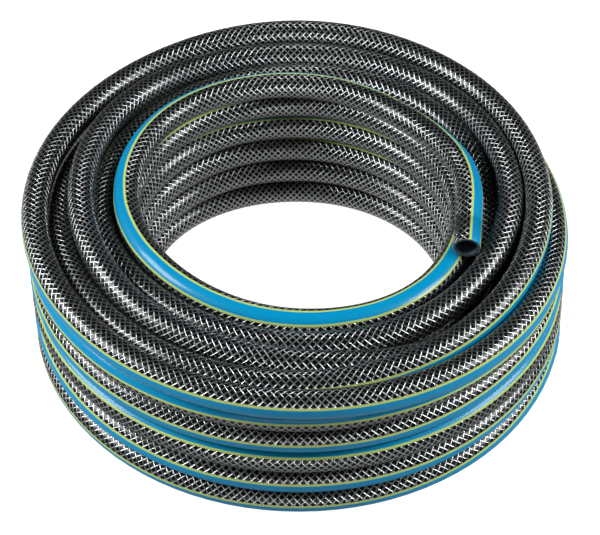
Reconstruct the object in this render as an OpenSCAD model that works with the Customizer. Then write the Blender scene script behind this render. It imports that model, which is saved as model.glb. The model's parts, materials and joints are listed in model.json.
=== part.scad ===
// Garden hose wound into a free-standing coil, with both ends cut square.
// From end A on the rim the hose runs anticlockwise all the way: down the inner wall, up the stack
// behind it, round the crown in four turns, down the outer wall and out to end B on the floor.
// Millimetres, +Z up, the floor at z = 0 and the origin under the middle of the coil.

/* [Hose] */
// Bore of the half-inch hose
bore_d = 12.5; // [11:0.5:14]
// Wall of the black inner tube
inner_wall = 1.1; // [0.9:0.1:1.4]
// Thickness of the yarn braid round the inner tube
braid_t = 0.25; // [0.2:0.05:0.4]
// Wall of the clear cover over the braid
cover_wall = 0.4; // [0.3:0.1:0.7]
// Width of the blue stripe in the cover, as an angle round the hose
stripe_angle = 55; // [40:1:70]
// Width of each lime line beside the stripe, as an angle round the hose
line_angle = 10; // [5:1:14]

/* [Coil] */
// Radius of the innermost stack of turns, to the middle of the hose
hole_r = 99; // [85:1:130]
// Clearance between neighbouring turns
turn_gap = 0.6; // [0.5:0.1:1]
// Height of the rim over the floor turn, in pitches of the hose
rim_level = 5.42; // [5.41:0.01:5.5]

/* [Ends] */
// Length of each cut end, from its mouth to the wound hose
end_l = 16; // [12:1:20]
// Straight run of the wound hose behind end A
head_run = 28; // [26:1:32]
// Straight run of the wound hose behind end B
tail_run = 28; // [26:1:34]
// Droop of end A below level, in degrees
head_droop = 8; // [6:1:9]
// How far outside the hole's radius end A's mouth lies, in pitches of the hose
head_out = 0.34; // [0.30:0.01:0.36]
// Where the blue stripe lies at end A, from the outer side of the coil upwards, in degrees
stripe_at_a = 45; // [0:5:180]
// Where the blue stripe lies at end B, in the same way
stripe_at_b = 20; // [0:5:180]
// Turn of end B away from the coil, in degrees
tail_turn = 7; // [6:1:10]

/* [Hidden] */
inner_d = bore_d + 2 * inner_wall;
braid_d = inner_d + 2 * braid_t;
hose_d = braid_d + 2 * cover_wall;
pitch = hose_d + turn_gap;
cut_share = 0.1;                    // the floor turns are cut flat, a tenth of the hose deep
floor_z = (0.5 - cut_share) * hose_d;
tail_up = cut_share * hose_d / pitch; // end B lies on the floor whole
rings = 24;                         // rings in a turn
sides = 6;                          // sides of the wound hose
$fn = 96;

// Chosen points, one row a turn, anticlockwise from +X: right, right-back, back, left-back, left,
// left-front, front, right-front. "out" is how far a turn lies outside hole_r and "up" how far it
// lies over the floor turns, both in pitches of the hose.
rim_out = [0.05, -0.16, 0.40, 0.75, 0.20, -0.40, -0.45, -0.20];
inner_top_out = [-0.15, 0.10, 0.55, 0.75, 0.35, -0.15, -0.25, -0.15];
inner_foot_out = [-0.10, -0.10, 0.00, 0.35, 0.40, 0.05, 0.00, -0.05];
second_top_out = [0.95, 1.15, 1.55, 1.80, 1.40, 0.95, 0.80, 0.90];
second_foot_out = [0.95, 0.95, 1.05, 1.40, 1.50, 1.05, 1.00, 0.95];
second_foot_up = [0, 0, 0, 0, 0.80, 0, 0, 0];
crown_out = [
    [0.85, 1.15, 1.45, 1.55, 1.15, 0.50, 0.60, 0.88],
    [1.53, 1.95, 2.25, 2.40, 1.80, 1.50, 1.55, 1.85],
    [1.95, 1.90, 2.30, 2.78, 2.55, 2.40, 2.55, 2.40],
    [2.50, 2.85, 3.23, 3.40, 3.42, 3.35, 3.50, 3.36],
    [3.05, 2.95, 3.15, 3.45, 3.35, 3.20, 3.10, 3.02]];
crown_up = [
    [4.34, 4.85, 4.75, 4.55, 4.55, 4.50, 4.65, 4.61],
    [5.13, 5.20, 5.15, 5.15, 5.32, 4.95, 4.85, 4.00],
    [4.05, 4.20, 4.20, 4.22, 4.62, 4.65, 4.90, 4.95],
    [5.30, 5.45, 5.48, 5.20, 5.12, 5.00, 5.05, 4.75],
    [4.50, 4.45, 3.80, 3.60, 3.90, 3.95, 3.95, 3.80]];
outer_foot_out = [3.25, 3.15, 3.10, 3.15, 3.35, 3.35, 3.30, 3.30];
head_lift = 0.3;                    // end A lies this much over the rim, in pitches
compass = len(rim_out);             // chosen points in a turn

// Turns at which the stretches start, counted from the right-hand side of the rim
inner_start = 1;                    // the inner wall, one turn below the rim
second_start = 5.625;               // the second stack, on the floor
crown_start = 10;                   // the crown, over the second stack
outer_start = 15;                   // the outer wall, under the last turn of the crown
hose_end = 19;
inner_turns = 4;                    // the inner wall reaches its foot in these turns
second_lean = 0.75;                 // share of its climb in which the second stack leans outwards

function mix(a, b, f) = a + (b - a) * f;
function clip(f) = min(1, max(0, f));

// The chosen point number n, as [out, up]
function inner_point(t, j) = [
    mix(inner_top_out[j], inner_foot_out[j], clip((t - inner_start) / inner_turns)),
    max(0, rim_level - t)];
function second_point(t, j) =
    let (side = j / compass, foot = floor(second_start) + side + (side < second_start % 1 ? 1 : 0),
        f = (t - foot) / (crown_start + side - foot))
    [mix(second_foot_out[j], second_top_out[j], clip(f / second_lean)),
        mix(second_foot_up[j], crown_up[0][j], f)];
function outer_point(t, j) =
    let (last = j < 2, turns = hose_end - outer_start + (last ? 1 : 0),
        f = clip((t - (outer_start - 1 + j / compass)) / turns))
    [mix(crown_out[4][j], outer_foot_out[j], f), mix(crown_up[4][j], last ? tail_up : 0, f)];
function chosen(n) =
    let (t = n / compass, j = n % compass, row = floor(t) - crown_start)
    t < inner_start ? [rim_out[j], rim_level - t + (n == 0 ? head_lift : 0)]
    : t < second_start ? inner_point(t, j)
    : t < crown_start ? second_point(t, j)
    : t < outer_start ? [crown_out[row][j], crown_up[row][j]]
    : outer_point(t, j);
points_n = hose_end * compass + 3;
points = [for (n = [0 : points_n - 1]) chosen(n)];

// Smooth run between the chosen points, as [radius, height] at turn t
function slope(n) = n == 0 ? (points[1] - points[0]) : (points[n + 1] - points[n - 1]) / 2;
function place(t) =
    let (n = floor(t * compass), x = t * compass - n, a = points[n], b = points[n + 1],
        p = a + x * (slope(n) + x * (3 * (b - a) - 2 * slope(n) - slope(n + 1)
            + x * (slope(n) + slope(n + 1) - 2 * (b - a)))))
    [hole_r + pitch * p[0], max(floor_z, floor_z + pitch * p[1])];

// Middle of the hose at each ring, as [radius, height, angle]
loop_rings = hose_end * rings;
middle = [for (i = [0 : loop_rings]) concat(place(i / rings), 360 * i / rings)];

function around(p, r, z, turn) = [(p[0] + r) * cos(p[2]), (p[0] + r) * sin(p[2]), p[1] + z];
// A ring of the wound hose, upright across the turn, its lowest side cut by the floor
function wound_ring(p) = [for (s = [0 : sides - 1])
    let (q = around(p, hose_d / 2 * cos(360 * s / sides), hose_d / 2 * sin(360 * s / sides)))
    [q[0], q[1], max(0, q[2])]];

// Straight ends: where each leaves the turns, the way it points, and its mouth
head_from = around(middle[0], 0, 0);
head_reach = (head_run + end_l) * cos(head_droop);
head_turn = asin((head_from[0] ^ 2 + head_reach ^ 2 - (hole_r + head_out * pitch) ^ 2)
    / (2 * head_from[0] * head_reach));
head_dir = [-sin(head_turn) * cos(head_droop), -cos(head_turn) * cos(head_droop), -sin(head_droop)];
head_mouth = head_from + (head_run + end_l) * head_dir;
tail_from = around(middle[loop_rings], 0, 0);
tail_dir = [sin(tail_turn), cos(tail_turn), 0];
tail_mouth = tail_from + (tail_run + end_l) * tail_dir;

// A ring of the wound hose, square across a straight end; out is the side away from the coil
function outward(dir, way) = way * cross(dir, [0, 0, 1]) / norm(cross(dir, [0, 0, 1]));
function straight_ring(at, dir, way) =
    let (side = outward(dir, way), over = way * cross(side, dir))
    [for (s = [0 : sides - 1])
        at + hose_d / 2 * (cos(360 * s / sides) * side + sin(360 * s / sides) * over)];

wound_rings = concat(
    [straight_ring(head_from + head_run * head_dir, head_dir, -1)],
    [straight_ring(head_from + (head_run - hose_d) * head_dir, head_dir, -1)],
    [for (p = middle) wound_ring(p)],
    [straight_ring(tail_from + (tail_run - hose_d) * tail_dir, tail_dir, 1)],
    [straight_ring(tail_from + tail_run * tail_dir, tail_dir, 1)]);
skin = [for (ring = wound_rings, p = ring) p];
last_ring = len(skin) - sides;
side_faces = [for (i = [0 : sides : last_ring - sides], s = [0 : sides - 1])
    let (a = i + s, b = i + (s + 1) % sides)
    each [[a, b, a + sides], [b, b + sides, a + sides]]];
end_faces = [for (s = [1 : sides - 2])
    each [[0, s + 1, s], [last_ring, last_ring + s, last_ring + s + 1]]];

// Moves the coil so that the origin is under the middle of its box
xs = concat([for (p = skin) p[0]], [tail_mouth[0] + hose_d / 2 * cos(tail_turn)]);
ys = [for (p = skin) p[1]];
to_origin = -[min(xs) + max(xs), min(ys) + max(ys), 0] / 2;

// Least gap between the hose and itself, across the flats of the rings that stand together at each
// angle of the coil, and between each straight end and the turns
across_flats = hose_d * cos(180 / sides);
flat_normals = [for (s = [0 : 2]) [cos(90 - 360 * s / sides), sin(90 - 360 * s / sides)]];
function ring_gap(a, b) =
    max([for (n = flat_normals) abs(n * [b[0] - a[0], b[1] - a[1]])]) - across_flats;
turn_gaps = [for (i = [0 : loop_rings], j = [i + rings : rings : loop_rings])
    ring_gap(middle[i], middle[j])];
centres = [for (p = middle) around(p, 0, 0)];
function end_gap(p, i, width) =
    let (a = centres[i], run = centres[i + 1] - a, f = clip((p - a) * run / (run * run)))
    norm(p - a - f * run) - (width + across_flats) / 2;
head_gaps = [for (s = [0 : head_run + end_l], i = [rings / 2 : loop_rings - 1])
    end_gap(head_from + s * head_dir, i, s < head_run ? across_flats : hose_d)];
tail_gaps = [for (s = [0 : tail_run + end_l], i = [0 : loop_rings - rings / 2])
    end_gap(tail_from + s * tail_dir, i, s < tail_run ? across_flats : hose_d)];
echo(least_gap_mm = min(concat(turn_gaps, head_gaps, tail_gaps)));

// Length along the middle of the hose, from mouth to mouth
function sum(v, n) = n < 0 ? 0 : v[n] + sum(v, n - 1);
steps = [for (i = [1 : loop_rings]) norm(around(middle[i], 0, 0) - around(middle[i - 1], 0, 0))];
echo(length_mm = sum(steps, loop_rings - 1) + head_run + tail_run + 2 * end_l);
echo(triangles = len(side_faces) + len(end_faces));
echo(end_b_mouth = tail_mouth + to_origin, end_b_way = tail_dir);

// The wound hose between the two cut ends, one unbroken tube
module coiled_hose() {
    color([0.27, 0.28, 0.29]) translate(to_origin)
        polyhedron(points = skin, faces = concat(side_faces, end_faces));
}

// Stands its children, drawn along +Z below the mouth, in end A or end B. The angle is where the
// blue stripe lies, from the side away from the coil upwards.
module in_end_a(angle) {
    translate(head_mouth + to_origin) rotate([0, 90 + head_droop, -90 - head_turn])
        rotate([0, 0, 90 + angle]) translate([0, 0, -end_l]) children();
}
module in_end_b(angle) {
    translate(tail_mouth + to_origin) rotate([0, 90, 90 - tail_turn])
        rotate([0, 0, -90 - angle]) translate([0, 0, -end_l]) children();
}

// A whole layer of the hose, and a part of one between two angles
module layer(d_in, d_out) {
    difference() {
        cylinder(h = end_l, d = d_out);
        translate([0, 0, -1]) cylinder(h = end_l + 2, d = d_in);
    }
}
module part_layer(d_in, d_out, from, to) {
    rotate([0, 0, from]) rotate_extrude(angle = to - from)
        translate([d_in / 2, 0]) square([(d_out - d_in) / 2, end_l]);
}

module inner_tube() { color([0.03, 0.03, 0.035]) layer(bore_d, inner_d); }
module yarn_braid() { color([0.72, 0.73, 0.74]) layer(inner_d, braid_d); }
module clear_cover() {
    color([0.55, 0.57, 0.58])
        part_layer(braid_d, hose_d, stripe_angle / 2 + line_angle, 360 - stripe_angle / 2 - line_angle);
}
module blue_stripe() {
    color([0.02, 0.47, 0.75]) part_layer(braid_d, hose_d, -stripe_angle / 2, stripe_angle / 2);
}
module lime_lines() {
    color([0.71, 0.79, 0.37]) for (side = [0, 1]) mirror([0, side, 0])
        part_layer(braid_d, hose_d, stripe_angle / 2, stripe_angle / 2 + line_angle);
}

module end_a_inner_tube() { in_end_a(stripe_at_a) inner_tube(); }
module end_a_yarn_braid() { in_end_a(stripe_at_a) yarn_braid(); }
module end_a_clear_cover() { in_end_a(stripe_at_a) clear_cover(); }
module end_a_blue_stripe() { in_end_a(stripe_at_a) blue_stripe(); }
module end_a_lime_lines() { in_end_a(stripe_at_a) lime_lines(); }
module end_b_inner_tube() { in_end_b(stripe_at_b) inner_tube(); }
module end_b_yarn_braid() { in_end_b(stripe_at_b) yarn_braid(); }
module end_b_clear_cover() { in_end_b(stripe_at_b) clear_cover(); }
module end_b_blue_stripe() { in_end_b(stripe_at_b) blue_stripe(); }
module end_b_lime_lines() { in_end_b(stripe_at_b) lime_lines(); }

coiled_hose();
end_a_inner_tube();
end_a_yarn_braid();
end_a_clear_cover();
end_a_blue_stripe();
end_a_lime_lines();
end_b_inner_tube();
end_b_yarn_braid();
end_b_clear_cover();
end_b_blue_stripe();
end_b_lime_lines();
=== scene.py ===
"""Half-inch garden hose, 15 m long, wound into a free-standing coil and cut square at both ends.

The frame holds the coil's sizes. The hose follows the same route here as one hollow tube, with its
braid, clear cover, blue stripe and lime lines, and its two cut ends are built up layer by layer.
Metres, +Z up, the floor at z = 0. Turns are counted anticlockwise from the right-hand side of the
rim, and an angle round the hose runs from the side away from the coil's axis upwards.
"""
import json
import math

import bmesh
import bpy
from mathutils import Matrix, Vector


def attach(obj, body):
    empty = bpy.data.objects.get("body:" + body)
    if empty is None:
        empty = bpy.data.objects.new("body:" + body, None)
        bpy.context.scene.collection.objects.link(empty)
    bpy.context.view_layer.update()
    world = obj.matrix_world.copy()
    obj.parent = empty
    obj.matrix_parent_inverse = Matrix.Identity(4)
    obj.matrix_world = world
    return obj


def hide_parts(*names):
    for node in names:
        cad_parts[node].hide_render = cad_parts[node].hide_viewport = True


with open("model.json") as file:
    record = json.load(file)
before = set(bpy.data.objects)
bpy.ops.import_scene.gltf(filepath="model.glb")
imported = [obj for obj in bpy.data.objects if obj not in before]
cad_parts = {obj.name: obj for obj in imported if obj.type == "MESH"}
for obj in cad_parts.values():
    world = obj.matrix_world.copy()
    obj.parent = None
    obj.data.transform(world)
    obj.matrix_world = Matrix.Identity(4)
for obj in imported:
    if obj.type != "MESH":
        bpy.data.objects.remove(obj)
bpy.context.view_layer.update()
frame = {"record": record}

# Hose
BORE_D = 0.0125
INNER_WALL = 0.0011
BRAID_T = 0.00025
COVER_WALL = 0.0004
STRIPE_ANGLE = 55
LINE_ANGLE = 10
INNER_D = BORE_D + 2 * INNER_WALL
BRAID_D = INNER_D + 2 * BRAID_T
HOSE_D = BRAID_D + 2 * COVER_WALL
YARNS = 12              # yarns that wind each way round the hose
YARN_LAY = 0.00423      # from one yarn to the next along the hose
YARN_FULL = 0.105       # half of a yarn's width up to its soft edge, as a share of the lay,
YARN_EDGE = 0.135       # and with that edge,
YARN_ROUND = 0.15       # and of the circle that its back follows
YARN_DIP = 0.2          # how far a yarn rises over and dips under the ones that it crosses

# Coil
HOLE_R = 0.099
PITCH = HOSE_D + 0.0006
RIM_LEVEL = 5.42
CUT_SHARE = 0.1
FLOOR_Z = (0.5 - CUT_SHARE) * HOSE_D
TAIL_UP = CUT_SHARE * HOSE_D / PITCH
INNER_START, SECOND_START, CROWN_START, OUTER_START, HOSE_END = 1, 5.625, 10, 15, 19
INNER_TURNS = 4
SECOND_LEAN = 0.75

# Ends
END_L = 0.016
HEAD_RUN = 0.028
TAIL_RUN = 0.028
HEAD_DROOP = math.radians(8)
HEAD_OUT = 0.34
HEAD_LIFT = 0.3
TAIL_TURN = math.radians(7)

# Chosen points of the route, one row a turn: right, right-back, back, left-back, left, left-front,
# front, right-front. "out" is outside HOLE_R and "up" over the floor turns, both in pitches.
RIM_OUT = [0.05, -0.16, 0.40, 0.75, 0.20, -0.40, -0.45, -0.20]
INNER_TOP_OUT = [-0.15, 0.10, 0.55, 0.75, 0.35, -0.15, -0.25, -0.15]
INNER_FOOT_OUT = [-0.10, -0.10, 0.00, 0.35, 0.40, 0.05, 0.00, -0.05]
SECOND_TOP_OUT = [0.95, 1.15, 1.55, 1.80, 1.40, 0.95, 0.80, 0.90]
SECOND_FOOT_OUT = [0.95, 0.95, 1.05, 1.40, 1.50, 1.05, 1.00, 0.95]
SECOND_FOOT_UP = [0, 0, 0, 0, 0.80, 0, 0, 0]
CROWN_OUT = [
    [0.85, 1.15, 1.45, 1.55, 1.15, 0.50, 0.60, 0.88],
    [1.53, 1.95, 2.25, 2.40, 1.80, 1.50, 1.55, 1.85],
    [1.95, 1.90, 2.30, 2.78, 2.55, 2.40, 2.55, 2.40],
    [2.50, 2.85, 3.23, 3.40, 3.42, 3.35, 3.50, 3.36],
    [3.05, 2.95, 3.15, 3.45, 3.35, 3.20, 3.10, 3.02]]
CROWN_UP = [
    [4.34, 4.85, 4.75, 4.55, 4.55, 4.50, 4.65, 4.61],
    [5.13, 5.20, 5.15, 5.15, 5.32, 4.95, 4.85, 4.00],
    [4.05, 4.20, 4.20, 4.22, 4.62, 4.65, 4.90, 4.95],
    [5.30, 5.45, 5.48, 5.20, 5.12, 5.00, 5.05, 4.75],
    [4.50, 4.45, 3.80, 3.60, 3.90, 3.95, 3.95, 3.80]]
OUTER_FOOT_OUT = [3.25, 3.15, 3.10, 3.15, 3.35, 3.35, 3.30, 3.30]
COMPASS = len(RIM_OUT)

# Where the middle of the blue stripe lies round the hose, as (turn, degrees)
STRIPE_AT = [
    (-0.06, 45), (0.02, 45), (0.07, 34), (0.1, 25), (0.125, 20), (0.15, 27), (0.19, 36), (0.25, 40),
    (0.375, 45), (0.46, 48), (0.5, 52), (0.54, 58), (0.6, 61), (0.6875, 63), (0.75, 65),
    (0.8125, 70), (0.875, 77), (0.95, 82), (1.05, 66), (1.2, 66), (1.25, 69), (1.35, 76), (1.43, 78),
    (1.48, 72), (1.6, 60), (2.0, 60), (2.1, 64), (2.2, 69), (2.28, 70), (2.34, 63), (2.45, 50),
    (3.0, 50), (3.12, 64), (3.17, 69), (3.2, 68), (3.26, 58), (3.4, 40), (5.0, -60), (9.0, -110),
    (12.2, -110), (12.6, -25), (12.75, -5), (12.9, -8), (13.0, -12), (13.07, -13), (13.5, -15),
    (13.75, -6), (14.1, 10), (14.75, 47), (15.25, 20), (15.75, -20), (16.2, 40), (16.75, 80),
    (17.25, 40), (17.75, -14), (18.75, -25), (19.06, 20)]

# Mesh
RINGS = 96              # rings in a turn
SIDES = 32
BEND_TURN = 0.05        # a straight end bends into the coil over this much of a turn
BEND_RUN = 0.016        # and over this much of its own length
END_STEPS = 4           # steps of the line over a cut end
RUN_STEPS = 3           # steps over the straight run behind it
BEND_STEPS = 9          # steps round the bend into the coil
EASE = 0.00012          # how far a cut edge is eased

# Camera: how it looks down on the coil, from how far, and at what
CAMERA_DOWN = math.radians(45)
CAMERA_FAR = 1.1439
CAMERA_AIM = Vector((0, 0, 0.03587))
CAMERA_LENS = 112.44


def mix(a, b, f):
    return a + (b - a) * f


def clip(f):
    return min(1, max(0, f))


# ---------------------------------------------------------------- the route of the hose

def chosen(n):
    """The chosen point number n, as (out, up) in pitches."""
    t, j = n / COMPASS, n % COMPASS
    side = j / COMPASS
    if t < INNER_START:
        return RIM_OUT[j], RIM_LEVEL - t + (HEAD_LIFT if n == 0 else 0)
    if t < SECOND_START:
        return (mix(INNER_TOP_OUT[j], INNER_FOOT_OUT[j], clip((t - INNER_START) / INNER_TURNS)),
                max(0, RIM_LEVEL - t))
    if t < CROWN_START:
        foot = int(SECOND_START) + side + (1 if side < SECOND_START % 1 else 0)
        f = (t - foot) / (CROWN_START + side - foot)
        return (mix(SECOND_FOOT_OUT[j], SECOND_TOP_OUT[j], clip(f / SECOND_LEAN)),
                mix(SECOND_FOOT_UP[j], CROWN_UP[0][j], f))
    if t < OUTER_START:
        row = int(t) - CROWN_START
        return CROWN_OUT[row][j], CROWN_UP[row][j]
    last = j < 2            # these two run one turn further, to where the hose leaves the coil
    f = clip((t - (OUTER_START - 1 + side)) / (HOSE_END - OUTER_START + (1 if last else 0)))
    return (mix(CROWN_OUT[-1][j], OUTER_FOOT_OUT[j], f),
            mix(CROWN_UP[-1][j], TAIL_UP if last else 0, f))


points = [Vector(chosen(n)) for n in range(HOSE_END * COMPASS + 3)]


def slope(n):
    return points[1] - points[0] if n == 0 else (points[n + 1] - points[n - 1]) / 2


def place(t):
    """The middle of the hose at turn t, before the coil is moved over its origin."""
    n = int(t * COMPASS)
    x = t * COMPASS - n
    a, b, at_a, at_b = points[n], points[n + 1], slope(n), slope(n + 1)
    p = a + x * (at_a + x * (3 * (b - a) - 2 * at_a - at_b + x * (at_a + at_b - 2 * (b - a))))
    radius, angle = HOLE_R + PITCH * p[0], 2 * math.pi * t
    return Vector((radius * math.cos(angle), radius * math.sin(angle),
                   max(FLOOR_Z, FLOOR_Z + PITCH * p[1])))


def bend(a, way_a, b, way_b, steps):
    """Points of one smooth bend from a to b, without its two ends."""
    reach = (b - a).length / 3
    c, d = a + way_a * reach, b - way_b * reach
    fractions = [i / steps for i in range(1, steps)]
    return [a * (1 - f) ** 3 + c * 3 * f * (1 - f) ** 2 + d * 3 * f * f * (1 - f) + b * f ** 3
            for f in fractions]


def straight(a, b, steps):
    return [a.lerp(b, i / steps) for i in range(steps + 1)]


def route():
    """Points along the middle of the hose from mouth to mouth, and the turn at each."""
    head, tail = place(0), place(HOSE_END)
    reach = (HEAD_RUN + END_L) * math.cos(HEAD_DROOP)
    turn = math.asin((head.x ** 2 + reach ** 2 - (HOLE_R + HEAD_OUT * PITCH) ** 2)
                     / (2 * head.x * reach))
    head_way = Vector((-math.sin(turn) * math.cos(HEAD_DROOP), -math.cos(turn) * math.cos(HEAD_DROOP),
                       -math.sin(HEAD_DROOP)))
    tail_way = Vector((math.sin(TAIL_TURN), math.cos(TAIL_TURN), 0))
    head_mouth, tail_mouth = (head + head_way * (HEAD_RUN + END_L),
                              tail + tail_way * (TAIL_RUN + END_L))
    first, last = round(BEND_TURN * RINGS), round((HOSE_END - BEND_TURN) * RINGS)
    wound = [place(i / RINGS) for i in range(first, last + 1)]
    way_in = (wound[1] - wound[0]).normalized()
    way_out = (wound[-1] - wound[-2]).normalized()
    head_bend, tail_bend = head + head_way * BEND_RUN, tail + tail_way * BEND_RUN
    line = straight(head_mouth, head_mouth - head_way * END_L, END_STEPS)
    line += straight(line[-1], head_bend, RUN_STEPS)[1:]
    line += bend(head_bend, -head_way, wound[0], way_in, BEND_STEPS)
    head_turns = [-(len(line) - i) / RINGS + BEND_TURN for i in range(len(line))]
    turns = head_turns + [i / RINGS for i in range(first, last + 1)]
    line += wound + bend(wound[-1], way_out, tail_bend, tail_way, BEND_STEPS)
    line += straight(tail_bend, tail_mouth - tail_way * END_L, RUN_STEPS)
    line += straight(line[-1], tail_mouth, END_STEPS)[1:]
    turns += [turns[-1] + (i + 1) / RINGS for i in range(len(line) - len(turns))]
    mount = next(m for m in frame["record"]["mounts"] if m["name"] == "end_b_bore")
    shift = Vector(mount["pos_m"]) - tail_mouth
    return [p + shift for p in line], turns, shift


def stripe_at(turn):
    """Angle of the middle of the stripe at a turn, eased between the chosen ones."""
    for (t0, a0), (t1, a1) in zip(STRIPE_AT, STRIPE_AT[1:]):
        if turn <= t1:
            f = clip((turn - t0) / (t1 - t0))
            return mix(a0, a1, f * f * (3 - 2 * f))
    return STRIPE_AT[-1][1]


line, turns, shift = route()
along = [0.0]
for a, b in zip(line, line[1:]):
    along.append(along[-1] + (b - a).length)


def across(i):
    """The way the hose runs at point i of the line, and its outward and upward sides."""
    way = (line[min(i + 1, len(line) - 1)] - line[max(i - 1, 0)]).normalized()
    out = way.cross(Vector((0, 0, 1))).normalized()
    return way, out, out.cross(way)


def ring(i, radius, lift):
    """A ring of the hose at point i, from the stripe's middle upwards, lying on the floor."""
    way, out, up = across(i)
    start = math.radians(stripe_at(turns[i]))
    found = []
    for s in range(SIDES):
        angle = start + 2 * math.pi * s / SIDES
        p = line[i] + radius * (math.cos(angle) * out + math.sin(angle) * up)
        found.append(Vector((p.x, p.y, max(lift, p.z))))
    return found


# ---------------------------------------------------------------- shader nodes

def new_material(name):
    material = bpy.data.materials.new(name)
    material.use_nodes = True
    return material, material.node_tree, material.node_tree.nodes["Principled BSDF"]


def add(tree, kind, **settings):
    node = tree.nodes.new(kind)
    for name, value in settings.items():
        setattr(node, name, value)
    return node


def feed(tree, socket, value):
    """Links a socket to a node's output, or sets its value."""
    if isinstance(value, bpy.types.NodeSocket):
        tree.links.new(value, socket)
    else:
        socket.default_value = value


def calc(tree, operation, *values, clamp=False):
    node = add(tree, "ShaderNodeMath", operation=operation, use_clamp=clamp)
    for socket, value in zip(node.inputs, values):
        feed(tree, socket, value)
    return node.outputs[0]


def blend(tree, factor, a, b):
    """A colour between a and b."""
    node = add(tree, "ShaderNodeMix", data_type="RGBA")
    for name, value in (("Factor_Float", factor), ("A_Color", a), ("B_Color", b)):
        socket = next(s for s in node.inputs if s.identifier == name)
        feed(tree, socket, value)
    return next(s for s in node.outputs if s.identifier == "Result_Color")


def between(tree, value, low, high, a=0.0, b=1.0):
    """Goes smoothly from a to b as the value goes from low to high."""
    node = add(tree, "ShaderNodeMapRange", interpolation_type="SMOOTHSTEP")
    for name, v in (("Value", value), ("From Min", low), ("From Max", high), ("To Min", a),
                    ("To Max", b)):
        feed(tree, node.inputs[name], v)
    return node.outputs["Result"]


def noise(tree, vector, scale, detail=2.0, roughness=0.5):
    node = add(tree, "ShaderNodeTexNoise")
    feed(tree, node.inputs["Vector"], vector)
    for name, v in (("Scale", scale), ("Detail", detail), ("Roughness", roughness)):
        feed(tree, node.inputs[name], v)
    return node.outputs["Fac"]


def vector(tree, x, y, z):
    node = add(tree, "ShaderNodeCombineXYZ")
    for socket, value in zip(node.inputs, (x, y, z)):
        feed(tree, socket, value)
    return node.outputs[0]


def braid_group():
    """Two sets of yarns that wind opposite ways and pass over and under each other. It puts out
    where there is yarn, how high it stands and how light its fibres are."""
    tree = bpy.data.node_groups.new("yarn braid", "ShaderNodeTree")
    tree.interface.new_socket("Along", in_out="INPUT", socket_type="NodeSocketFloat")
    tree.interface.new_socket("Around", in_out="INPUT", socket_type="NodeSocketFloat")
    for name in ("Yarn", "Height", "Fibres"):
        tree.interface.new_socket(name, in_out="OUTPUT", socket_type="NodeSocketFloat")
    inputs, outputs = add(tree, "NodeGroupInput"), add(tree, "NodeGroupOutput")
    u = calc(tree, "DIVIDE", inputs.outputs["Along"], YARN_LAY)
    v = calc(tree, "MULTIPLY", inputs.outputs["Around"], YARNS)
    ways = (calc(tree, "ADD", u, v), calc(tree, "SUBTRACT", u, v))
    found = []
    for own, other, sign in ((ways[0], ways[1], 1), (ways[1], ways[0], -1)):
        off = calc(tree, "ABSOLUTE", calc(tree, "SUBTRACT", calc(tree, "FRACT", own), 0.5))
        number = calc(tree, "FLOOR", own)
        phase = calc(tree, "ADD", calc(tree, "SUBTRACT", other, 0.5), number)
        wave = calc(tree, "COSINE", calc(tree, "MULTIPLY", phase, math.pi))
        wave = calc(tree, "MULTIPLY", wave, sign)
        mask = between(tree, off, YARN_FULL, YARN_EDGE, 1.0, 0.0)
        round_top = calc(tree, "SQRT", calc(tree, "SUBTRACT", 1.0, calc(
            tree, "POWER", calc(tree, "DIVIDE", off, YARN_ROUND), 2.0), clamp=True))
        height = calc(tree, "MULTIPLY", round_top, calc(
            tree, "MULTIPLY_ADD", wave, YARN_DIP, 1 - YARN_DIP))
        fibres = noise(tree, vector(tree, calc(tree, "MULTIPLY", own, 9.0), calc(
            tree, "MULTIPLY", other, 0.9), number), 1.6, 3.0, 0.6)
        found.append((mask, height, fibres))
    higher = calc(tree, "GREATER_THAN", found[0][1], found[1][1])
    lighter = calc(tree, "SUBTRACT", found[0][2], found[1][2])
    fibres = calc(tree, "MULTIPLY_ADD", lighter, higher, found[1][2])
    feed(tree, outputs.inputs["Yarn"], calc(tree, "MAXIMUM", found[0][0], found[1][0]))
    feed(tree, outputs.inputs["Height"], calc(tree, "MAXIMUM", found[0][1], found[1][1]))
    feed(tree, outputs.inputs["Fibres"], fibres)
    return tree


YARN_GROUP = braid_group()
BLACK = (0.002, 0.0025, 0.003, 1)
YARN_DARK = (0.18, 0.19, 0.19, 1)
YARN_LIGHT = (0.42, 0.44, 0.44, 1)
BLUE = (0.0005, 0.19, 0.37, 1)
LIME = (0.34, 0.43, 0.12, 1)
YARN_SHINE = 0.98       # how much of the yarn's light is gloss off its fibres
YARN_RELIEF = 0.0005    # how far the braid stands out
STRIPE_RELIEF = 0.08    # how much of that still shows in the stripe
STRIPE_WANDER = 0.6     # how far the stripe's edges stray, in degrees
STRIPE_SOFT = 0.5       # how soft they are, in degrees


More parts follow.
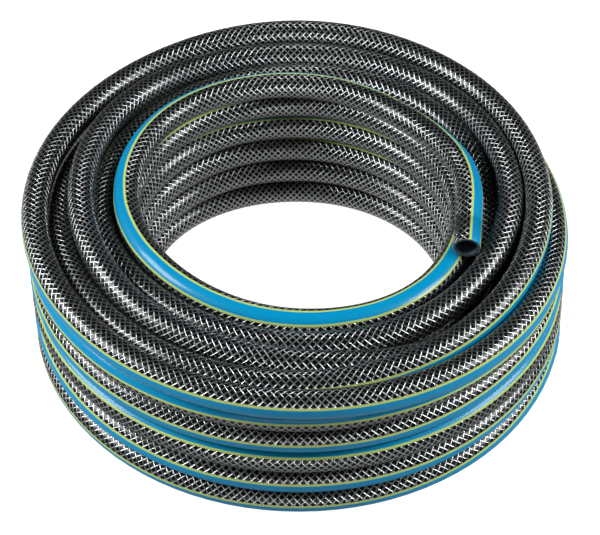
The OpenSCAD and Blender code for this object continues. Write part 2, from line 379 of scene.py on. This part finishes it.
def hose_material():
    """The hose from outside: braid on black under a glossy clear cover, with the coloured stripe."""
    material, tree, shader = new_material("braided hose under clear cover")
    uv = add(tree, "ShaderNodeUVMap", uv_map="hose")
    parts = add(tree, "ShaderNodeSeparateXYZ")
    feed(tree, parts.inputs[0], uv.outputs["UV"])
    u, v = parts.outputs["X"], parts.outputs["Y"]
    braid = add(tree, "ShaderNodeGroup", node_tree=YARN_GROUP)
    feed(tree, braid.inputs["Along"], u)
    feed(tree, braid.inputs["Around"], v)
    yarn_colour = blend(tree, between(tree, braid.outputs["Fibres"], 0.3, 0.7), YARN_DARK, YARN_LIGHT)
    body = blend(tree, braid.outputs["Yarn"], BLACK, yarn_colour)
    from_seam = calc(tree, "ABSOLUTE", calc(tree, "SUBTRACT", v, 0.5))
    wander = noise(tree, vector(tree, calc(tree, "MULTIPLY", u, 60.0), 0.0, 0.0), 1.0)
    from_stripe = calc(tree, "MULTIPLY_ADD", calc(tree, "SUBTRACT", 0.5, from_seam), 360.0,
                       calc(tree, "MULTIPLY_ADD", wander, 2 * STRIPE_WANDER, -STRIPE_WANDER))
    blue_edge, line_edge = STRIPE_ANGLE / 2, STRIPE_ANGLE / 2 + LINE_ANGLE
    in_blue, in_line = (between(tree, from_stripe, edge - STRIPE_SOFT, edge + STRIPE_SOFT, 1.0, 0.0)
                        for edge in (blue_edge, line_edge))
    colour = blend(tree, in_blue, blend(tree, in_line, body, LIME), BLUE)
    feed(tree, shader.inputs["Base Color"], colour)
    open_braid = calc(tree, "SUBTRACT", 1.0, in_line)
    relief = calc(tree, "MULTIPLY", braid.outputs["Height"], calc(
        tree, "MULTIPLY_ADD", open_braid, 1 - STRIPE_RELIEF, STRIPE_RELIEF))
    bump = add(tree, "ShaderNodeBump")
    feed(tree, bump.inputs["Height"], relief)
    feed(tree, bump.inputs["Distance"], YARN_RELIEF)
    feed(tree, bump.inputs["Strength"], 1.0)
    feed(tree, shader.inputs["Normal"], bump.outputs["Normal"])
    feed(tree, shader.inputs["Metallic"], calc(
        tree, "MULTIPLY", calc(tree, "MULTIPLY", braid.outputs["Yarn"], open_braid), YARN_SHINE))
    feed(tree, shader.inputs["Roughness"], calc(tree, "MULTIPLY_ADD", open_braid, -0.05, 0.36))
    shader.inputs["Specular IOR Level"].default_value = 0.1
    shader.inputs["Coat Weight"].default_value = 0.18
    shader.inputs["Coat Roughness"].default_value = 0.12
    shader.inputs["Coat IOR"].default_value = 1.5
    return material


def plain_material(name, colour, roughness, speckle, coat=0.0):
    """A moulded or cut plastic with a fine uneven tone."""
    material, tree, shader = new_material(name)
    place_on = add(tree, "ShaderNodeTexCoord").outputs["Object"]
    grain = noise(tree, place_on, 900.0, 4.0, 0.6)
    darker = tuple(c * (1 - speckle) for c in colour[:3]) + (1,)
    feed(tree, shader.inputs["Base Color"], blend(tree, grain, darker, colour))
    feed(tree, shader.inputs["Roughness"], calc(tree, "MULTIPLY_ADD", grain, 0.2, roughness - 0.1))
    bump = add(tree, "ShaderNodeBump")
    feed(tree, bump.inputs["Height"], grain)
    feed(tree, bump.inputs["Distance"], 0.00004)
    feed(tree, shader.inputs["Normal"], bump.outputs["Normal"])
    shader.inputs["Coat Weight"].default_value = coat
    return material


def cut_yarn_material():
    """The cut face of the braid: the ends of the yarns, between black."""
    material, tree, shader = new_material("cut yarn")
    parts = add(tree, "ShaderNodeSeparateXYZ")
    feed(tree, parts.inputs[0], add(tree, "ShaderNodeUVMap", uv_map="hose").outputs["UV"])
    braid = add(tree, "ShaderNodeGroup", node_tree=YARN_GROUP)
    feed(tree, braid.inputs["Along"], parts.outputs["X"])
    feed(tree, braid.inputs["Around"], parts.outputs["Y"])
    tuft = blend(tree, between(tree, braid.outputs["Fibres"], 0.35, 0.65), YARN_DARK, YARN_LIGHT)
    feed(tree, shader.inputs["Base Color"], blend(tree, braid.outputs["Yarn"], BLACK, tuft))
    bump = add(tree, "ShaderNodeBump")
    feed(tree, bump.inputs["Height"], braid.outputs["Fibres"])
    feed(tree, bump.inputs["Distance"], 0.00008)
    feed(tree, shader.inputs["Normal"], bump.outputs["Normal"])
    shader.inputs["Roughness"].default_value = 0.7
    return material


HOSE_SKIN = hose_material()
TUBE_BLACK = plain_material("black inner tube", (0.05, 0.085, 0.11, 1), 0.4, 0.3)
COVER_CUT = plain_material("cut edge of the clear cover", (0.30, 0.32, 0.33, 1), 0.35, 0.3)
YARN_CUT = cut_yarn_material()
BLUE_CUT = plain_material("cut edge of the blue stripe", BLUE, 0.35, 0.2)
LIME_CUT = plain_material("cut edge of the lime lines", LIME, 0.35, 0.2)


# ---------------------------------------------------------------- the wound hose

def wound_hose(first, last):
    """The hollow hose between two points of the line, closed by a ring of wall at each end."""
    mesh = bpy.data.meshes.new("coiled_hose_skin")
    made = bmesh.new()
    uvs = made.loops.layers.uv.new("hose")

    def skin(numbers, radius, lift, flip):
        rings = [[made.verts.new(p) for p in ring(i, radius, lift)] for i in numbers]
        for low, high, i, j in zip(rings, rings[1:], numbers, numbers[1:]):
            for s in range(SIDES):
                n = (s + 1) % SIDES
                corners = [(low[s], i, s), (high[s], j, s), (high[n], j, s + 1), (low[n], i, s + 1)]
                if not flip:
                    corners.reverse()
                face = made.faces.new([c[0] for c in corners])
                face.smooth = True
                face.material_index = 1 if flip else 0
                for loop, (_, at, side) in zip(face.loops, corners):
                    loop[uvs].uv = (along[at], side / SIDES)
        return rings

    outer = list(range(first, last + 1))
    inner = outer[::2] if (last - first) % 2 == 0 else outer[::2] + [last]
    outside = skin(outer, HOSE_D / 2, 0, False)
    inside = skin(inner, BORE_D / 2, (HOSE_D - BORE_D) / 2, True)
    for wide, narrow, flip in ((outside[0], inside[0], False), (outside[-1], inside[-1], True)):
        for s in range(SIDES):
            n = (s + 1) % SIDES
            corners = [wide[s], wide[n], narrow[n], narrow[s]]
            face = made.faces.new(corners[::-1] if flip else corners)
            face.material_index = 1
    made.to_mesh(mesh)
    made.free()
    piece = bpy.data.objects.new("coiled_hose_skin", mesh)
    bpy.context.collection.objects.link(piece)
    mesh.materials.append(HOSE_SKIN)
    mesh.materials.append(TUBE_BLACK)
    return piece


hose = wound_hose(END_STEPS, len(line) - 1 - END_STEPS)
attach(hose, "root")
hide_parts("coiled_hose")


# ---------------------------------------------------------------- the cut ends

def active(name):
    """Names the object that an operator has just added."""
    piece = bpy.context.active_object
    piece.name = piece.data.name = name
    return piece


def layer(name, d_in, d_out, start, sweep, eased):
    """One layer of a cut end, standing round +Z from z = 0 with its mouth at the top. It begins at
    the start angle in degrees, and its mouth's edge is eased on the outside or the inside."""
    bpy.ops.object.select_all(action="DESELECT")
    bpy.ops.mesh.primitive_plane_add(size=1, location=((d_in + d_out) / 4, 0, END_L / 2),
                                     rotation=(math.pi / 2, 0, 0))
    piece = active(name)
    piece.scale = ((d_out - d_in) / 2, END_L, 1)
    bpy.ops.object.transform_apply(location=True, rotation=True, scale=True)
    bpy.ops.object.mode_set(mode="EDIT")
    bpy.ops.mesh.select_all(action="DESELECT")
    bpy.ops.mesh.select_mode(type="VERT")
    shape = bmesh.from_edit_mesh(piece.data)
    edge_x = d_out / 2 if eased == "outside" else d_in / 2
    for corner in shape.verts:
        corner.select = corner.co.z > END_L / 2 and abs(corner.co.x - edge_x) < 1e-6
    bmesh.update_edit_mesh(piece.data)
    bpy.ops.mesh.bevel(offset=EASE, segments=2, affect="VERTICES")
    bpy.ops.mesh.select_all(action="SELECT")
    bpy.ops.mesh.delete(type="ONLY_FACE")
    bpy.ops.mesh.select_all(action="SELECT")
    bpy.ops.mesh.spin(steps=max(2, round(sweep / 360 * 3 * SIDES)), angle=math.radians(sweep),
                      center=(0, 0, 0), axis=(0, 0, 1))
    bpy.ops.mesh.select_all(action="SELECT")
    bpy.ops.mesh.remove_doubles(threshold=1e-6)
    if sweep < 360:
        bpy.ops.mesh.select_all(action="SELECT")
        bpy.ops.mesh.fill_holes(sides=0)
    bpy.ops.mesh.select_all(action="SELECT")
    bpy.ops.mesh.normals_make_consistent(inside=False)
    bpy.ops.object.mode_set(mode="OBJECT")
    if sweep < 360:
        lies = sum((Vector((p.co.x, p.co.y)) for p in piece.data.vertices), Vector((0, 0)))
        off = start + sweep / 2 - math.degrees(math.atan2(lies.y, lies.x))
        piece.data.transform(Matrix.Rotation(math.radians(off), 4, "Z"))
    return piece


def lay_in_end(piece, mouth, dress):
    """Moves a layer from its upright stand to the end whose mouth is that point of the line, gives
    it the hose's UV map, and its skin, its cut face and its walls their materials."""
    at_a = mouth == 0
    way, out, up = across(mouth)
    start = math.radians(stripe_at(turns[mouth]))
    stripe = math.cos(start) * out + math.sin(start) * up
    leaving = -way if at_a else way
    side = leaving.cross(stripe)
    turn_to = Matrix((stripe, side, leaving)).transposed().to_4x4()
    piece.data.transform(Matrix.Translation(line[mouth] - leaving * END_L) @ turn_to)
    mesh = piece.data
    mesh.uv_layers[0].name = "hose"
    uvs = mesh.uv_layers[0].data
    for material in dress:
        mesh.materials.append(material)
    for face in mesh.polygons:
        from_axis = face.center - line[mouth]
        from_axis -= from_axis.dot(way) * way
        share = (math.atan2(from_axis.dot(up), from_axis.dot(out)) - start) / (2 * math.pi) % 1
        for corner in face.loop_indices:
            p = mesh.vertices[mesh.loops[corner].vertex_index].co - line[mouth]
            v = (math.atan2(p.dot(up), p.dot(out)) - start) / (2 * math.pi) % 1
            v += 1 if v < share - 0.5 else -1 if v > share + 0.5 else 0
            uvs[corner].uv = (along[mouth] + p.dot(way), v)
        outwards = face.normal.dot(from_axis.normalized())
        face.material_index = 0 if outwards > 0.5 else 1 if face.normal.dot(leaving) > 0.5 else 2
        face.use_smooth = abs(face.normal.dot(leaving)) < 0.5
    return piece


COVER_FROM = STRIPE_ANGLE / 2 + LINE_ANGLE
for end, mouth in (("a", 0), ("b", len(line) - 1)):
    for part, d_in, d_out, spans, eased, dress in (
            ("inner_tube", BORE_D, INNER_D, [(0, 360)], "inside", (TUBE_BLACK,) * 3),
            ("yarn_braid", INNER_D, BRAID_D, [(0, 360)], "outside", (YARN_CUT,) * 3),
            ("clear_cover", BRAID_D, HOSE_D, [(COVER_FROM, 360 - 2 * COVER_FROM)], "outside",
             (HOSE_SKIN, COVER_CUT, COVER_CUT)),
            ("blue_stripe", BRAID_D, HOSE_D, [(-STRIPE_ANGLE / 2, STRIPE_ANGLE)], "outside",
             (HOSE_SKIN, BLUE_CUT, BLUE_CUT)),
            ("lime_lines", BRAID_D, HOSE_D, [(STRIPE_ANGLE / 2, LINE_ANGLE),
                                             (-COVER_FROM, LINE_ANGLE)], "outside",
             (HOSE_SKIN, LIME_CUT, LIME_CUT))):
        name = "end_%s_%s" % (end, part)
        made = [layer(name + "_%d" % i, d_in, d_out, start, sweep, eased)
                for i, (start, sweep) in enumerate(spans)]
        bpy.ops.object.select_all(action="DESELECT")
        for piece in made:
            piece.select_set(True)
        bpy.context.view_layer.objects.active = made[0]
        if len(made) > 1:
            bpy.ops.object.join()
        piece = active(name + "_cut")
        lay_in_end(piece, mouth, dress)
        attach(piece, "root")
        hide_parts(name)


# ---------------------------------------------------------------- floor, light and camera

FLOOR_GREYS = [(g, g, g, 1) for g in (0.29, 0.31)]
GLOW_INSIDE = (0.08, 0.13)      # the floor's glow falls off over these distances inside the coil,
GLOW_BESIDE = 0.15              # to this share of itself beside it,
GLOW_OUTSIDE = (0.3, 0.8)       # and to nothing over these
LAMP_AIM = Vector((0, 0, 0.05))
WALL_RISE = (0.1, 0.5)          # the studio's wall darkens over these heights of the view,
WALL_GLOW = (0.12, 0.01)        # from the first of these strengths to the second


def floor_material():
    """A lit white table top. It glows at the hose from close by, most of all inside the coil."""
    material, tree, shader = new_material("white floor")
    place_on = add(tree, "ShaderNodeTexCoord").outputs["Object"]
    reach = add(tree, "ShaderNodeVectorMath", operation="LENGTH")
    feed(tree, reach.inputs[0], place_on)
    tone = noise(tree, place_on, 3.0, 2.0, 0.5)
    feed(tree, shader.inputs["Base Color"], blend(tree, tone, *FLOOR_GREYS))
    glow = calc(tree, "MULTIPLY", between(tree, reach.outputs["Value"], *GLOW_INSIDE, 1.0, GLOW_BESIDE),
                between(tree, reach.outputs["Value"], *GLOW_OUTSIDE, 1.0, 0.0))
    shader.inputs["Roughness"].default_value = 0.8
    shader.inputs["Specular IOR Level"].default_value = 0.0
    shader.inputs["Emission Color"].default_value = (1, 1, 1, 1)
    feed(tree, shader.inputs["Emission Strength"], calc(
        tree, "MAXIMUM", add(tree, "ShaderNodeLightPath").outputs["Is Camera Ray"], glow))
    return material


bpy.ops.mesh.primitive_plane_add(size=12, location=(0, 0, 0))
floor = active("floor")
floor.data.materials.append(floor_material())


def softbox(name, where, size, power):
    light = bpy.data.lights.new(name, "AREA")
    light.shape = "RECTANGLE"
    light.size, light.size_y = size
    light.energy = power
    lamp = bpy.data.objects.new(name, light)
    lamp.location = where
    lamp.rotation_euler = (LAMP_AIM - lamp.location).to_track_quat("-Z", "Y").to_euler()
    bpy.context.collection.objects.link(lamp)


softbox("softbox on the left", (-1.38, -0.1, 1.02), (0.7, 0.7), 44)
softbox("softbox on the right", (1.38, -0.12, 1.02), (0.7, 0.7), 40)
softbox("low fill in front", (0, -1.6, 0.4), (1.2, 0.5), 5)

world = bpy.data.worlds.new("studio")
world.use_nodes = True
studio = world.node_tree
backdrop = studio.nodes["Background"]
backdrop.inputs["Color"].default_value = (1, 1, 1, 1)
seen = add(studio, "ShaderNodeLightPath").outputs["Is Camera Ray"]
heading = add(studio, "ShaderNodeSeparateXYZ")
feed(studio, heading.inputs[0], add(studio, "ShaderNodeTexCoord").outputs["Generated"])
wall = between(studio, heading.outputs["Z"], *WALL_RISE, *WALL_GLOW)
feed(studio, backdrop.inputs["Strength"], calc(studio, "MAXIMUM", seen, wall))
bpy.context.scene.world = world

camera_data = bpy.data.cameras.new("camera")
camera_data.lens = CAMERA_LENS
camera = bpy.data.objects.new("camera", camera_data)
camera.location = (CAMERA_AIM + shift
                   + CAMERA_FAR * Vector((0, -math.cos(CAMERA_DOWN), math.sin(CAMERA_DOWN))))
camera.rotation_euler = (math.pi / 2 - CAMERA_DOWN, 0, 0)
bpy.context.collection.objects.link(camera)
bpy.context.scene.camera = camera
bpy.context.scene.view_settings.view_transform = "Standard"
